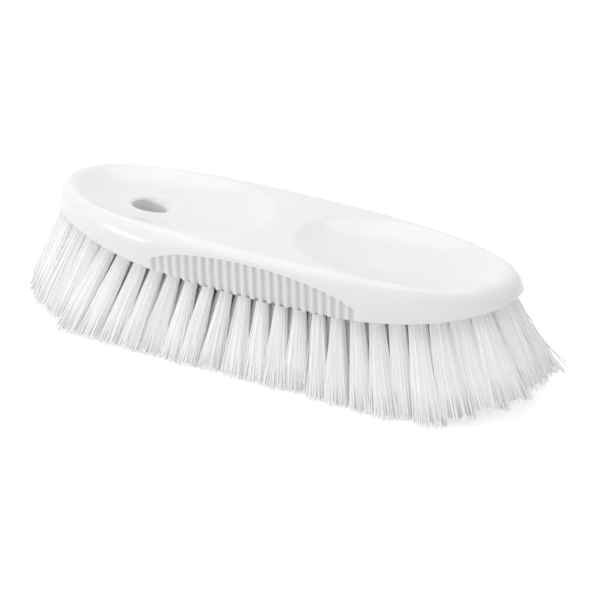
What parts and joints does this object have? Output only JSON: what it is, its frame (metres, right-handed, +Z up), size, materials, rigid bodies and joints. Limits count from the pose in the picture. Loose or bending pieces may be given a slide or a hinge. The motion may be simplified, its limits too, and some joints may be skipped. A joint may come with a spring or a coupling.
{
  "type": "churn brush",
  "caption": "Oval hand scrubbing brush: a moulded block with two palm hollows, ribbed finger grips and a hanging hole, over fanned stiff bristles.",
  "frame": {"origin": "middle of the brush at the level of the bristle tips, on the surface that it stands on", "axes": "+X along the block, away from the hanging hole; +Y across it; +Z up, out of the top face"},
  "size_m": [0.2626, 0.0896, 0.0584],
  "materials": {
    "block": "smooth white polypropylene moulding, soft gloss",
    "bristle": "stiff white polyester filament, satin",
    "staple": "drawn flat stainless steel wire"
  },
  "bodies": {
    "root": {"brush_block": "block", "bristles_front_left": "bristle", "bristles_front_right": "bristle", "bristles_back_left": "bristle", "bristles_back_right": "bristle", "anchor_staple_01": "staple", "anchor_staple_02": "staple", "anchor_staple_03": "staple", "anchor_staple_04": "staple", "anchor_staple_05": "staple", "anchor_staple_06": "staple", "anchor_staple_07": "staple", "anchor_staple_08": "staple", "anchor_staple_09": "staple", "anchor_staple_10": "staple", "anchor_staple_11": "staple", "anchor_staple_12": "staple", "anchor_staple_13": "staple", "anchor_staple_14": "staple", "anchor_staple_15": "staple", "anchor_staple_16": "staple", "anchor_staple_17": "staple", "anchor_staple_18": "staple", "anchor_staple_19": "staple", "anchor_staple_20": "staple", "anchor_staple_21": "staple", "anchor_staple_22": "staple", "anchor_staple_23": "staple", "anchor_staple_24": "staple", "anchor_staple_25": "staple", "anchor_staple_26": "staple", "anchor_staple_27": "staple", "anchor_staple_28": "staple", "anchor_staple_29": "staple", "anchor_staple_30": "staple", "anchor_staple_31": "staple", "anchor_staple_32": "staple", "anchor_staple_33": "staple", "anchor_staple_34": "staple", "anchor_staple_35": "staple", "anchor_staple_36": "staple", "anchor_staple_37": "staple", "anchor_staple_38": "staple", "anchor_staple_39": "staple", "anchor_staple_40": "staple", "anchor_staple_41": "staple", "anchor_staple_42": "staple", "anchor_staple_43": "staple", "anchor_staple_44": "staple", "anchor_staple_45": "staple", "anchor_staple_46": "staple", "anchor_staple_47": "staple", "anchor_staple_48": "staple", "anchor_staple_49": "staple", "anchor_staple_50": "staple", "anchor_staple_51": "staple", "anchor_staple_52": "staple"}
  },
  "joints": []
}
